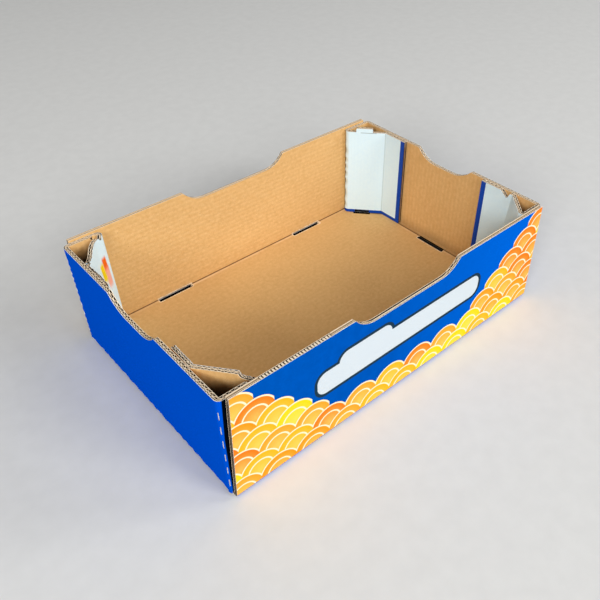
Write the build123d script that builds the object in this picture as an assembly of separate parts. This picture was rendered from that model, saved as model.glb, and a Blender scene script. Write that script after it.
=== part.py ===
from build123d import *
import os
from math import acos, atan2, degrees, sin

# Open-topped fruit tray, die-cut from one sheet of double-wall corrugated board,
# folded and glued. Millimetres; the origin is under the middle of the floor,
# +X to the right along the length, +Y to the back wall, +Z up.

# Overall sizes
outer_length = 597.0
outer_width = 398.0
long_wall_height = 180.0
short_wall_height = 176.0

# Board and folds
board = 6.5
crease_radius = 1.0
bend_radius = crease_radius + board
glue_line = 0.5
glue_margin = 16.0

# Long walls stop short of the tray's ends, further back at the top than at the foot
long_wall_setback = 11.0
long_wall_foot_setback = 3.5

# Scoops in the top edges, lip to lip
long_scoop_width = 197.0
long_scoop_depth = 20.0
long_scoop_radius = 44.0
short_scoop_width = 115.0
short_scoop_depth = 19.0
short_scoop_radius = 50.0
lip_radius = 4.0

# Stacking slots in the floor. The long ones touch the folds of the long walls.
slot_width = 6.5
slot_corner_radius = 1.5
long_slot_length = 64.0
long_slot_spacing = 286.0
short_slot_length = 60.0
short_slot_gap = 7.5

# Stacking tabs on the corner posts, and the slots and notches that take them.
# place is measured along the diagonal panel from the nose.
post_tab_place = 29.0
post_tab_width = 30.0
post_tab_height = 7.0
post_tab_radius = 2.0
post_slot_length = 33.0
post_slot_clearance = 4.5
post_notch_length = 28.0
post_notch_height = 5.5

# The flaps' feet stand above the floor, and the outer corners reach further down
flap_foot_gap = 0.6
corner_foot_gap = 2.0
corner_side_gap = 1.0

# Perforation cuts down the outer corner folds, turned round the fold from the short wall.
# The lowest and the highest cut are placed by their middles.
corner_cut_length = 13.5
corner_cut_above_floor = 24.0
corner_cut_below_top = 25.5
corner_cut_count = 6
corner_cut_turn = 33.0
corner_cut_width = 1.2
corner_cut_depth = 1.5

# Corner posts, each as it would lie in the back right corner. nose and fold are where
# the brown face turns: nose is its distance from the tray's end, where flap and panel
# meet, and fold its distance from the tray's side, where panel and glue tab meet. push
# bows the diagonal panel towards the corner. These three are given for the foot and for
# the top. push_place is how far along the panel the bow lies. tab_end is the distance of
# the tab's free end from the tray's side, and stand_off swings that end off the wall.
# panel_tear and tab_tear are the torn top edges: distance from the nose or from the
# tab's end, and drop below the short wall's top.
push_radius = 40.0
sound_post = dict(
    nose=(53.5, 53.5),
    fold=(65.0, 65.0),
    push=(0.0, 0.0),
    push_place=0.3,
    tab_end=113.5,
    stand_off=0.0,
    panel_tear=[],
    tab_tear=[],
)
posts = {
    "back_right": dict(sound_post),
    "front_right": dict(
        sound_post,
        nose=(53.5, 41.5),
        fold=(65.0, 51.0),
        tab_tear=[(-5, 0), (38, 0), (44, 3), (49, 8), (52, 7), (56, -2)],
    ),
    "back_left": dict(
        sound_post,
        fold=(65.0, 57.0),
        push=(0.3, 5.0),
        panel_tear=[(-20, -2), (3, -2), (7, 5), (9, 4), (12, -1), (34, 1), (40, 5), (46, 8), (80, 10)],
        tab_tear=[(-5, 8), (10, 7), (17, 5), (29, 7), (41, 9), (60, 10)],
    ),
    "front_left": dict(
        sound_post,
        fold=(66.0, 72.0),
        tab_end=119.0,
        stand_off=3.0,
        panel_tear=[(-20, 8), (8, 7), (15, 5), (18, 0), (80, 0)],
        tab_tear=[(-5, 4), (12, 2), (36, 0), (60, 0)],
    ),
}

# Faces and heights that several parts share
wall_face_x = outer_length / 2 - board
wall_face_y = outer_width / 2 - board
flap_face_y = wall_face_y - glue_line - board
tab_face_x = wall_face_x - glue_line
long_wall_end = outer_length / 2 - long_wall_setback
long_wall_foot_end = outer_length / 2 - long_wall_foot_setback
flap_middle_x = long_wall_end - 20.0
foot = board + flap_foot_gap
short_trough_end = flap_face_y - crease_radius
corner_cut_span = short_wall_height - corner_cut_above_floor - corner_cut_below_top
corner_cut_pitch = corner_cut_span / (corner_cut_count - 1)
clear = 20.0


def trough(span, height):
    """Section of a floor with a wall folded up at each end of the span."""
    with BuildSketch() as section:
        with BuildLine():
            FilletPolyline(
                (-span / 2 + board, height),
                (-span / 2 + board, board),
                (span / 2 - board, board),
                (span / 2 - board, height),
                radius=crease_radius,
            )
            offset(amount=board, side=Side.RIGHT)
        make_face()
    return section.sketch


def strip(points, radii, height):
    """Section at this height of board standing on edge, its white face to the right of the path."""
    with BuildSketch(Plane.XY.offset(height)) as section:
        with BuildLine():
            FilletPolyline(*points, radius=radii)
            offset(amount=board, side=Side.RIGHT)
        make_face()
    return section.sketch


def scoop(width, depth, radius):
    """Outline taken out of a top edge at y = 0: flat bottom, round ends, rounded lips."""
    swing = acos(1 - depth / radius)
    flat = width / 2 - radius * sin(swing)
    with BuildSketch() as outline:
        with BuildLine():
            bottom = Line((-flat, -depth), (flat, -depth))
            right = JernArc(bottom @ 1, bottom % 1, radius, degrees(swing))
            mirror(right, Plane.YZ)
            Line(right @ 1, (-(right @ 1).X, 0))
        make_face()
        with Locations((0, clear / 2)):
            Rectangle(width + 2 * clear, clear)
        lips = outline.vertices().filter_by_position(Axis.Y, -0.01, 0.01).sort_by(Axis.X)[1:-1]
        fillet(lips, lip_radius)
    return outline.sketch


def post_points(post, at):
    """Nose and fold of a post's brown face, at its foot (0) or its top (1)."""
    nose = Vector(outer_length / 2 - post["nose"][at], flap_face_y)
    return nose, Vector(tab_face_x, outer_width / 2 - post["fold"][at])


def tab_end_y(post):
    """Free end of a post's glue tab."""
    return outer_width / 2 - post["tab_end"]


def post_plane(post, at=0):
    """Plane of a panel's brown face: x from the nose to the fold, y up, z to the white side."""
    nose, fold = post_points(post, at)
    along = (fold - nose).normalized()
    return Plane(origin=nose, x_dir=along, z_dir=(along.Y, -along.X, 0))


def post_section(post, at, height):
    """Section of flap, diagonal panel and glue tab."""
    nose, fold = post_points(post, at)
    flap_start = (flap_middle_x, flap_face_y)
    tab_stop = (tab_face_x - post["stand_off"], tab_end_y(post))
    points = [flap_start, nose, fold, tab_stop]
    radii = [crease_radius, bend_radius]
    if post["push"][at]:
        straight = nose + (fold - nose) * post["push_place"]
        points.insert(2, straight - post_plane(post, at).z_dir * post["push"][at])
        radii.insert(1, push_radius)
    return strip(points, radii, height)


def torn(outline, plane, toward_brown):
    """Everything above a torn edge, for the board that lies on a plane."""
    edge = [(along, short_wall_height - drop) for along, drop in outline]
    above_top = short_wall_height + clear
    points = edge + [(edge[-1][0], above_top), (edge[0][0], above_top)]
    with BuildSketch(plane.offset(-toward_brown)) as above:
        with BuildLine():
            Polyline(*points, close=True)
        make_face()
    return extrude(above.sketch, amount=toward_brown + 2 * board)


def corner_post(post):
    """Flap, diagonal panel and glue tab, with the top edge as it is torn."""
    low, high = post_section(post, 0, foot), post_section(post, 1, short_wall_height)
    upright = all(post[size][0] == post[size][1] for size in ("nose", "fold", "push"))
    if upright:
        body = extrude(low, amount=short_wall_height - foot)
    else:
        body = loft([low, high], ruled=True)
    plane = post_plane(post)
    with BuildSketch(plane) as notch:
        with Locations((post_tab_place, foot)):
            Rectangle(post_notch_length, 2 * post_notch_height)
    body -= extrude(notch.sketch, amount=board)
    if post["panel_tear"]:
        body -= torn(post["panel_tear"], post_plane(post, 1), 1.5 * board)
    if post["tab_tear"]:
        tab_plane = Plane(origin=(tab_face_x, tab_end_y(post), 0), x_dir=(0, 1, 0), z_dir=(1, 0, 0))
        body -= torn(post["tab_tear"], tab_plane.offset(-board), board)
    return body


def corner_wrap(post):
    """Board from the short wall round the outer corner onto the flap."""
    path = [(wall_face_x, tab_end_y(post)), (wall_face_x, flap_face_y), (flap_middle_x, flap_face_y)]
    wrap = extrude(strip(path, crease_radius, foot), amount=short_wall_height - foot)
    lower = extrude(strip(path, crease_radius, corner_foot_gap), amount=foot - corner_foot_gap)
    edge = long_wall_foot_end + corner_side_gap
    lower &= Pos(edge + clear / 2, short_trough_end + clear / 2, 0) * Box(clear, clear, 2 * board + 2)
    return wrap + lower


def glue(post):
    """Glue between flap and long wall, and between tab and short wall."""
    tall = short_wall_height - foot - 2 * glue_margin
    middle = (short_wall_height + foot) / 2
    flap_from, flap_to = post_points(post, 1)[0].X + board, long_wall_end - board
    flap_glue = Pos((flap_from + flap_to) / 2, wall_face_y - glue_line / 2, middle) * Box(
        flap_to - flap_from, glue_line, tall
    )
    tab_to = outer_width / 2 - max(post["fold"]) - board
    tab_from = tab_to - 2 * board if post["stand_off"] else tab_end_y(post) + board
    thick = glue_line + post["stand_off"]
    tab_glue = Pos(wall_face_x - thick / 2, (tab_from + tab_to) / 2, middle) * Box(
        thick, tab_to - tab_from, tall
    )
    return flap_glue + tab_glue


def fold_slot():
    """Opening along a fold of the back wall. Its far side, cut square, has turned with the fold."""
    flat = Pos(0, wall_face_y - slot_width / 2, -1) * RectangleRounded(
        long_slot_length, slot_width, slot_corner_radius
    )
    with BuildSketch(Plane.YZ) as turned:
        with BuildLine():
            under = (wall_face_y, -1)
            fold_end = (wall_face_y, bend_radius)
            outside = (wall_face_y + bend_radius + 1, -1)
            Polyline(under, fold_end, outside, close=True)
        make_face()
    half = long_slot_length / 2 - slot_corner_radius
    return extrude(flat, amount=1 + bend_radius) + extrude(turned.sketch, amount=half, both=True)


def post_slot(post):
    """Opening in the floor under a diagonal panel."""
    plane = post_plane(post)
    middle = plane.from_local_coords((post_tab_place, 0, board / 2))
    turn = degrees(atan2(plane.x_dir.Y, plane.x_dir.X))
    slot = RectangleRounded(post_slot_length, board + 2 * post_slot_clearance, slot_corner_radius)
    upwards = board + 1 + flap_foot_gap / 2
    return extrude(Pos(middle.X, middle.Y, -1) * Rot(0, 0, turn) * slot, amount=upwards)


def post_tab(post):
    """Stacking tab on top of a diagonal panel."""
    with BuildSketch(post_plane(post)) as outline:
        with Locations((post_tab_place, short_wall_height)):
            Rectangle(post_tab_width, 2 * post_tab_height)
        fillet(outline.vertices().group_by(Axis.Z)[-1], post_tab_radius)
    return extrude(outline.sketch, amount=board)


def corner_cuts():
    """Perforation cuts down one outer corner fold."""
    cuts = []
    for place in range(corner_cut_count):
        height = corner_cut_above_floor + place * corner_cut_pitch
        spot = Pos(wall_face_x - crease_radius, short_trough_end, height) * Rot(0, 0, corner_cut_turn)
        reach = 2 * corner_cut_depth
        cuts.append(spot * Pos(bend_radius, 0, 0) * Box(reach, corner_cut_width, corner_cut_length))
    return cuts


def in_corner(name, shape):
    """Shape drawn for the back right corner, moved to the named corner."""
    if name.startswith("front"):
        shape = mirror(shape, Plane.XZ)
    if name.endswith("left"):
        shape = mirror(shape, Plane.YZ)
    return shape


def wall_end_cuts():
    """Wedges that slant the raw ends of the long walls."""
    with BuildSketch(Plane.XZ) as wedges:
        with BuildLine():
            Polyline(
                (long_wall_foot_end, foot),
                (long_wall_end, long_wall_height),
                (long_wall_end, long_wall_height + clear),
                (long_wall_end + clear, long_wall_height + clear),
                (long_wall_end + clear, foot),
                close=True,
            )
        make_face()
        mirror(about=Plane.YZ)
    return extrude(wedges.sketch, amount=outer_width, both=True)


def short_wall_bends():
    """Room in the floor for the bends of the short walls."""
    middle = outer_length / 2 - bend_radius + clear / 2
    bend = Box(clear, 2 * short_trough_end, 2 * bend_radius)
    return [Pos(side * middle, 0, 0) * bend for side in (-1, 1)]


# Floor with long walls, and floor with short walls
long_section = Plane.YZ * trough(outer_width, long_wall_height)
long_trough = extrude(long_section, amount=long_wall_foot_end, both=True) - wall_end_cuts()
long_trough -= short_wall_bends()
short_section = Plane.XZ * trough(outer_length, short_wall_height)
short_trough = extrude(short_section, amount=short_trough_end, both=True)
tray = long_trough + short_trough

# Corner posts, glued in
for name, post in posts.items():
    tray += in_corner(name, corner_wrap(post) + corner_post(post))
    tray += in_corner(name, glue(post))
tray += post_tab(posts["back_right"])

# Scoops in all four walls
long_scoop = Plane.XZ.offset(-outer_width) * Pos(0, long_wall_height) * scoop(
    long_scoop_width, long_scoop_depth, long_scoop_radius
)
short_scoop = Plane.YZ.offset(-outer_length) * Pos(0, short_wall_height) * scoop(
    short_scoop_width, short_scoop_depth, short_scoop_radius
)
tray -= extrude(long_scoop, amount=2 * outer_width)
tray -= extrude(short_scoop, amount=2 * outer_length)

# Slots in the floor
slot_x = wall_face_x - short_slot_gap - slot_width / 2
for side in (-1, 1):
    slot = RectangleRounded(slot_width, short_slot_length, slot_corner_radius)
    tray -= extrude(Pos(side * slot_x, 0, -1) * slot, amount=board + 2)
    back_slot = Pos(side * long_slot_spacing / 2, 0, 0) * fold_slot()
    tray -= [back_slot, mirror(back_slot, Plane.XZ)]
for name, post in posts.items():
    tray -= in_corner(name, post_slot(post))
    tray -= [in_corner(name, cut) for cut in corner_cuts()]

tray = tray.solid() if len(tray.solids()) == 1 else tray
tray.label = "tray"
tray.color = Color(0.72, 0.55, 0.36)
os.makedirs("parts", exist_ok=True)
export_step(tray, "parts/tray.step")
print("solids", len(tray.solids()), "valid", tray.is_valid, "volume", round(tray.volume))
print(tray.bounding_box())
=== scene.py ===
# %% [markdown]
# # A fruit tray folded from double-wall corrugated board
# The tray is one die-cut sheet: brown paper inside, white printed paper outside, and
# between them two wavy layers with a flat one in the middle. This lesson dresses the
# tray's solid model with those papers, their cut and torn edges, the print and the light.

# %% Tools and the solid model
import math
from collections import namedtuple

import bmesh
import bpy
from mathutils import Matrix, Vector, noise
from mathutils.bvhtree import BVHTree


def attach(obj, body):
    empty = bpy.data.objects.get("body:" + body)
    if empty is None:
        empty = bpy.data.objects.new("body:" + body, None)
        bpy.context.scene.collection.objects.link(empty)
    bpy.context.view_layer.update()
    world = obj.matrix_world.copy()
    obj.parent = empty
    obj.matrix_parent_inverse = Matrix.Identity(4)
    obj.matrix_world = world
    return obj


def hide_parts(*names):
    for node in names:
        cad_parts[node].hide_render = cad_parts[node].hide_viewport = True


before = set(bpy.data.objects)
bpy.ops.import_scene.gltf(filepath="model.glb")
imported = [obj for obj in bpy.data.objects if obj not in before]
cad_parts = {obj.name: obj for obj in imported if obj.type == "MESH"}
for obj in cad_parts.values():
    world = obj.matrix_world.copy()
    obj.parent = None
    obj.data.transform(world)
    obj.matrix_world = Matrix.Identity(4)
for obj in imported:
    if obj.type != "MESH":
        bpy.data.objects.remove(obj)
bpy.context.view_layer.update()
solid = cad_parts["tray"]
MM = 0.001
print("solid model:", len(solid.data.polygons), "triangles")

# %% [markdown]
# ## Camera
# The tray is seen from above its front left corner. The camera stands a little over a
# metre away. A small shift of the lens puts the tray where it is in the picture, which is
# better than turning the camera, because turning would change the perspective.

# %% Camera
camera_place = Vector((-522.5, -628.9, 732.0)) * MM
camera_heading = math.radians(-41.57)
camera_drop = math.radians(40.86)
lens_in_pixels = 670.0
picture_side = 600.0
axis_in_picture = (330.1, 302.6)


def placed(name, data):
    """A new object in the scene: a mesh, a lamp or a camera."""
    thing = bpy.data.objects.new(name, data)
    bpy.context.scene.collection.objects.link(thing)
    return thing


lens = bpy.data.cameras.new("camera")
lens.sensor_width = 36.0
lens.lens = lens.sensor_width * lens_in_pixels / picture_side
lens.shift_x = 0.5 - axis_in_picture[0] / picture_side
lens.shift_y = axis_in_picture[1] / picture_side - 0.5
camera = placed("camera", lens)
camera.location = camera_place
camera.rotation_euler = (math.pi / 2 - camera_drop, 0, camera_heading)
bpy.context.scene.camera = camera
print("lens", round(lens.lens, 1), "mm, shift", round(lens.shift_x, 4), round(lens.shift_y, 4))

# %% [markdown]
# ## Sizes of the tray
# These are the sizes the solid was made from. They are needed again here, because the
# wavy paper has to follow the same walls and folds. All are in millimetres and are made
# metres only where a mesh is built.

# %% Sizes
half_length, half_width = 298.5, 199.0
long_wall_top, short_wall_top = 180.0, 176.0
board = 6.5
crease_radius = 1.0
bend_radius = crease_radius + board
glue_line = 0.5
wall_face_x, wall_face_y = half_length - board, half_width - board
flap_face_y = wall_face_y - glue_line - board
tab_face_x = wall_face_x - glue_line
foot = board + 0.6
long_wall_end, long_wall_foot_end = half_length - 11.0, half_length - 3.5
tab_end, bent_tab_end = half_width - 113.5, half_width - 119.0
bottom_corner_y = flap_face_y - crease_radius
lowest_top = 150.0
print("tray:", 2 * half_length, "by", 2 * half_width, "by", long_wall_top, "mm without the tab")

# %% [markdown]
# ## Papers of the board
# A B flute lies under the print and a C flute behind the brown paper. Pitch is the
# distance from wave to wave and height is from valley to crest. The heights and the five
# papers add up to the board's thickness.

# %% Papers
liner = 0.6
middle_paper = 0.5
wave_paper = 0.45
fine_pitch, coarse_pitch = 6.4, 7.9
fine_height = 2.0
reach = 11.0
coarse_height = board - 2 * liner - middle_paper - fine_height
coarse_middle = liner + coarse_height / 2
middle_place = liner + coarse_height + middle_paper / 2
fine_middle = board - liner - fine_height / 2
print("waves", fine_height, "and", round(coarse_height, 2), "mm high")


# %% [markdown]
# ## Writing node trees as formulas
# A material is a graph of small sums on numbers, vectors and colours. Wired one by one,
# such a graph is long to write and hard to read. Here a number of the graph is an object
# that knows its node, so that a plain formula such as a * b + c adds the nodes for it.

# %% Numbers of a node tree
def reckoning(operation):
    return lambda first, second: first.nodes.sum(operation, first, second)


class Number:
    """A number in a node tree. What is reckoned with it becomes a node of its own."""

    def __init__(self, nodes, socket):
        self.nodes, self.socket = nodes, socket

    def __abs__(self):
        return self.nodes.sum("ABSOLUTE", self)

    __add__ = __radd__ = reckoning("ADD")
    __sub__ = reckoning("SUBTRACT")
    __mul__ = __rmul__ = reckoning("MULTIPLY")
    __truediv__ = reckoning("DIVIDE")
    __pow__ = reckoning("POWER")
    __lt__ = reckoning("LESS_THAN")
    __gt__ = reckoning("GREATER_THAN")


class Nodes:
    """Adds nodes to a tree, and hands back their outputs."""

    def __init__(self, tree):
        self.tree = tree

    def feed(self, socket, value):
        if isinstance(value, Number):
            value = value.socket
        if isinstance(value, bpy.types.NodeSocket):
            self.tree.links.new(value, socket)
        else:
            socket.default_value = value

    def node(self, kind, inputs=(), **settings):
        made = self.tree.nodes.new(kind)
        for name, value in settings.items():
            setattr(made, name, value)
        for key, value in dict(inputs).items():
            self.feed(made.inputs[key], value)
        return made.outputs

    def number(self, kind, inputs=(), **settings):
        return Number(self, self.node(kind, inputs, **settings)[0])

    def sum(self, operation, *values):
        return self.number("ShaderNodeMath", enumerate(values), operation=operation)

    def within(self, value, middle, half):
        """1 where the value is at most half away from the middle, 0 elsewhere."""
        return self.sum("COMPARE", value, middle, half)

    def range(self, value, low, high, to_low=0.0, to_high=1.0, **settings):
        keys = {"Value": value, "From Min": low, "From Max": high, "To Min": to_low}
        return self.number("ShaderNodeMapRange", {**keys, "To Max": to_high}, **settings)

    def step(self, value, low, high):
        """0 below low, 1 above high, smooth between; turned round if low is the higher."""
        return self.range(value, low, high, interpolation_type="SMOOTHSTEP")

    def split(self, vector):
        return [Number(self, part) for part in self.node("ShaderNodeSeparateXYZ", {0: vector})]


# %% [markdown]
# ## Recipes for materials
# Every finish reads the place on the tray, lays patterns over each other and ends in one
# shader, so those steps are written once. Lengths are turned into millimetres first.

# %% Recipe helper
class Recipe(Nodes):
    """The nodes of one material."""

    def __init__(self, name):
        self.material = bpy.data.materials.new(name)
        self.material.use_nodes = True
        super().__init__(self.material.node_tree)
        self.shader = self.tree.nodes["Principled BSDF"].inputs
        self.place = self.node("ShaderNodeTexCoord")["Object"]

    def spot(self, mirrored=False):
        """The place on the tray in millimetres, or how far it is from the tray's middle."""
        parts = self.split(self.place)
        return [(abs(part) if mirrored else part) * (1 / MM) for part in parts]

    def noise(self, scale, detail=2.0, roughness=0.5, vector=None):
        keys = {"Vector": vector or self.place, "Scale": scale}
        keys.update({"Detail": detail, "Roughness": roughness})
        return self.number("ShaderNodeTexNoise", keys)

    def stretch(self, vector, scale):
        return self.node("ShaderNodeMapping", {"Vector": vector, "Scale": scale})[0]

    def distance(self, *sides):
        return self.sum("SQRT", self.sum("ADD", *[side * side for side in sides]))

    def mix(self, share, first, second):
        keys = {0: share, 6: first, 7: second}
        return self.node("ShaderNodeMix", keys, data_type="RGBA")[2]

    def layer(self, tone, colour, pattern, low, high, share=1.0):
        """The tone with a colour over it, from none at low to its share at high."""
        return self.mix(self.range(pattern, low, high, 0.0, share), tone, colour)

    def finish(self, colour, roughness, height=None, bump=0.1, gloss=None):
        """Feeds the shader. The bump is in millimetres."""
        self.feed(self.shader["Base Color"], colour)
        self.feed(self.shader["Roughness"], roughness)
        if gloss is not None:
            self.feed(self.shader["Specular IOR Level"], gloss)
        if height is not None:
            keys = {"Height": height, "Distance": bump * MM}
            self.feed(self.shader["Normal"], self.node("ShaderNodeBump", keys)[0])
        return self.material


def paint(red, green, blue):
    """A colour as a paint chart gives it, made linear for the shader."""
    parts = [part / 255 for part in (red, green, blue)]
    return (*(p / 12.92 if p <= 0.04045 else ((p + 0.055) / 1.055) ** 2.4 for p in parts), 1.0)


def rounded_plate(recipe, u, v, middle, half, corner):
    """Distance to a rounded plate's outline, less than nothing inside."""
    sides = []
    for value, centre, extent in zip((u, v), middle, half):
        sides.append(recipe.sum("MAXIMUM", abs(value - centre) - (extent - corner), 0.0))
    return recipe.distance(*sides) - corner


# %% [markdown]
# ## Folds, slots and hollows
# Folding leaves a crease mark with crushed, paler paper beside it; the dark line on the fold is
# painted shade of its groove as well as the mark. Punching leaves pale fibres round the slots, and
# their pale rim is also a painted highlight of the lit cut edge. At the foot of the short walls
# the fold lies a little nearer the middle than the corner of the board, and opens where it meets
# the slot; the foot gets painted shade, and the opening is painted dark as shade. Down in the
# hollow posts, where little light gets, the paper gets painted shade. Each of these is a recipe
# for a number between 0 and 1, which the kraft below then paints.

# %% Folds, slots and hollows
slot_width, slot_corner = 6.5, 1.5
long_slot_x, long_slot_length = 143.0, 64.0
short_slot_x, short_slot_length = wall_face_x - 10.75, 60.0
stacking_slots = (
    ((long_slot_x, wall_face_y - slot_width / 2), (long_slot_length / 2, slot_width / 2)),
    ((short_slot_x, 0.0), (slot_width / 2, short_slot_length / 2)),
)
short_fold_x = wall_face_x - 5.7
foot_shade_height = 26.0
post_start_x, post_start_y = half_length - 55.0, half_width - 72.0


def near_crease(recipe, along_floor, wide):
    """1 in a line beside the folds between floor and walls, 0 elsewhere."""
    x, y, z = recipe.spot(mirrored=True)
    lines = []
    for part, fold in ((y, wall_face_y), (x, short_fold_x)):
        lines.append(recipe.distance(part - (fold - along_floor), z - board))
    return recipe.step(recipe.sum("MINIMUM", *lines), wide, wide / 2)


def short_foot(recipe):
    """The short walls' foot: its painted shade, and 1 on the painted shade where the fold opens at
    the slot.
    """
    x, y, z = recipe.spot(mirrored=True)
    beyond_fold = recipe.step(x, short_fold_x - 0.3, short_fold_x + 0.3)
    shade = beyond_fold * recipe.step(z, board + foot_shade_height, board)
    half = (slot_width / 2 - 0.6, short_slot_length / 2 - 1.0)
    slot_gap_shade = rounded_plate(recipe, x, y, (short_slot_x + 3.4, 0.0), half, slot_corner)
    return shade, recipe.step(slot_gap_shade, 0.5, -0.3) * recipe.step(z, board + 0.9, board + 0.4)


def slot_rim(recipe):
    """1 on the pale rim round the stacking slots, raw fibres with a painted highlight of the lit
    cut edge, 0 elsewhere.
    """
    x, y, z = recipe.spot(mirrored=True)
    rims = [rounded_plate(recipe, x, y, *slot, slot_corner) for slot in stacking_slots]
    beside = recipe.step(recipe.sum("MINIMUM", *rims), 2.0, 1.2)
    frayed = recipe.range(recipe.noise(190.0), 0.38, 0.56, 0.25, 1.0)
    return beside * frayed * recipe.step(z, foot + 3.4, foot + 2.4)


def in_hollow(recipe):
    """Painted shade: 1 deep inside the corner posts, 0 outside them and at their tops."""
    x, y, z = recipe.spot(mirrored=True)
    past_nose = recipe.range(x, post_start_x, tab_face_x)
    past_fold = recipe.range(y, post_start_y, flap_face_y)
    shade = recipe.step(z, short_wall_top - 4.0, short_wall_top - 38.0)
    for part, low, high in (
        (past_nose + past_fold, 0.82, 0.95), (past_nose, 0.0, 0.04), (past_fold, 0.0, 0.04),
    ):
        shade = shade * recipe.step(part, low, high)
    return shade


# %% [markdown]
# ## Kraft paper
# The inside is unbleached kraft liner. Close up it is a felt of long wood fibres: cloudy
# patches, fine streaks, a few dark and light specks. The glued waves behind it show as a
# faint washboard, stronger on the walls. That pattern is read from the sheet's own map,
# which runs along and across the waves, so the washboard turns with the walls. The gloss
# is set as a plain number first, because that is all an exported model can keep of it.

# %% Kraft
kraft_tone = paint(220, 176, 112)
kraft_dark = paint(203, 157, 94)
kraft_light = paint(234, 194, 136)
dark_speck, light_speck = paint(160, 108, 60), paint(246, 214, 164)
crease_and_shade_tone = paint(120, 84, 46)
crushed_tone = paint(240, 204, 156)
fibre_and_highlight_tone = paint(252, 230, 196)
hollow_shade_tone = paint(30, 14, 3)
painted_gap_tone = paint(14, 10, 6)
kraft_gloss = 0.4
map_name = "sheet"


def sheet_map(recipe):
    """The sheet's own map: along the waves, across the waves, in metres."""
    return recipe.node("ShaderNodeUVMap", uv_map=map_name)[0]


def washboard(recipe, pitch):
    """The glued waves, from -1 in their valleys to 1 on their crests."""
    across = recipe.split(sheet_map(recipe))[1]
    return recipe.sum("SINE", across * (math.tau / (pitch * MM)))


def make_kraft():
    recipe = Recipe("kraft_liner")
    on_wall = recipe.spot()[2] > board + 0.5
    waves = washboard(recipe, coarse_pitch) * (on_wall * 0.6 + 0.4)
    clouds = recipe.noise(14.0, 3.0)
    felt = recipe.noise(150.0, 3.0, 0.65)
    streaks = recipe.stretch(sheet_map(recipe), (900.0, 260.0, 1.0))
    fibres = recipe.noise(1.0, 3.0, 0.7, streaks)
    specks = recipe.noise(620.0, 1.0)
    tone = kraft_tone
    for colour, *where in (
        (kraft_dark, clouds, 0.3, 0.7, 0.4),
        (kraft_light, felt, 0.35, 0.65, 0.65),
        (kraft_dark, fibres, 0.3, 0.7, 0.35),
        (kraft_dark, waves, -1.0, 1.0, 0.3),
        (dark_speck, specks, 0.68, 0.8, 0.6),
        (light_speck, specks, 0.3, 0.2, 0.6),
    ):
        tone = recipe.layer(tone, colour, *where)
    crushed = near_crease(recipe, 3.6, 2.6) * recipe.range(clouds, 0.4, 0.62, 0.0, 0.75)
    foot_shade, slot_gap_shade = short_foot(recipe)
    for share, colour in (
        (crushed, crushed_tone),
        # Painted shade on the foot of the short walls.
        (foot_shade * 0.35, crease_and_shade_tone),
        # The fold line: a crease mark with painted shade of its groove.
        (near_crease(recipe, 0.0, 1.6), crease_and_shade_tone),
        # The slot rims: raw fibres with a painted highlight.
        (slot_rim(recipe), fibre_and_highlight_tone),
        # Painted shade where the fold opens at the short slots.
        (slot_gap_shade, painted_gap_tone),
        # Painted shade deep in the hollow posts.
        (in_hollow(recipe) * 0.94, hollow_shade_tone),
    ):
        tone = recipe.mix(share, tone, colour)
    recipe.feed(recipe.shader["Specular IOR Level"], kraft_gloss)
    gloss = slot_gap_shade * -kraft_gloss + kraft_gloss
    return recipe.finish(tone, 0.85, waves * 0.25 + fibres, 0.2, gloss)


kraft = make_kraft()
print("kraft nodes:", len(kraft.node_tree.nodes))

# %% [markdown]
# ## Fluting and cut edges
# The wavy papers are made from recycled fibre, greyer than the liner. Where a blade or a tear has
# opened the paper, pale fibres stand up, so every rim gets a lighter finish than the face beside
# it; the rims are painted lighter still as a highlight of light from above.

# %% Fluting and rims
toothed = (-244.0, -136.0)
cut_roughness = 0.9


def short_fibres(recipe):
    return recipe.noise(700.0, 3.0, 0.7)


def make_paper(name, dark, light):
    recipe = Recipe(name)
    fibres = short_fibres(recipe)
    patches = recipe.range(recipe.noise(90.0), 0.3, 0.7, 0.0, 0.3)
    share = recipe.range(fibres, 0.3, 0.7, 0.0, 0.7) + patches
    return recipe.finish(recipe.mix(share, dark, light), cut_roughness, fibres)


def make_fluting():
    """Wavy paper: pale fibres at the open edge, and painted shade further down in the channels and
    along the toothed front stretch.
    """
    recipe = Recipe("fluting_paper")
    depth = recipe.node("ShaderNodeAttribute", attribute_name="depth")["Fac"]
    fibres = short_fibres(recipe)
    paper = recipe.mix(fibres, paint(166, 134, 98), paint(222, 194, 156))
    x, y, _ = recipe.spot()
    start, stop = toothed
    on_front = recipe.within(x, (start + stop) / 2, (stop - start) / 2) * (y < -wall_face_y)
    # Painted shade: the paper darkens with depth below the edge, and more along the toothed front
    # stretch.
    light = recipe.step(depth, 2.4 * MM, 0.2 * MM) * (on_front * -0.75 + 1.0)
    tone = recipe.mix(light, paint(20, 14, 8), paper)
    return recipe.finish(tone, cut_roughness, fibres)


def make_crushed_paper():
    """Crushed edge: pale on the teeth's tops, with painted shade down their sides."""
    recipe = Recipe("crushed_paper")
    fibres = short_fibres(recipe)
    on_top = recipe.step(recipe.spot()[2], long_wall_top - 1.3, long_wall_top - 0.5)
    pale = recipe.mix(fibres, paint(212, 190, 160), paint(250, 236, 214))
    # Painted shade down the teeth's sides, below their tops.
    tone = recipe.mix(on_top, paint(84, 62, 42), pale)
    return recipe.finish(tone, cut_roughness, fibres)


fluting = make_fluting()
raw_fluting = make_paper("raw_end_paper", paint(38, 32, 26), paint(92, 80, 64))
raw_rim = make_paper("raw_end_rim", paint(92, 76, 58), paint(168, 146, 118))
# The channel sides are painted near black: painted shade inside the waves.
channel = make_paper("channel_side", paint(30, 21, 12), paint(58, 44, 28))
crushed_paper = make_crushed_paper()
# The cut rims are pale from raw fibres, and paler still as a painted highlight.
kraft_rim = make_paper("cut_kraft", paint(234, 208, 174), paint(255, 242, 218))
white_rim = make_paper("cut_white", paint(196, 194, 186), paint(240, 240, 236))
print("papers for cut edges:", len(bpy.data.materials) - 1)


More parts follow.
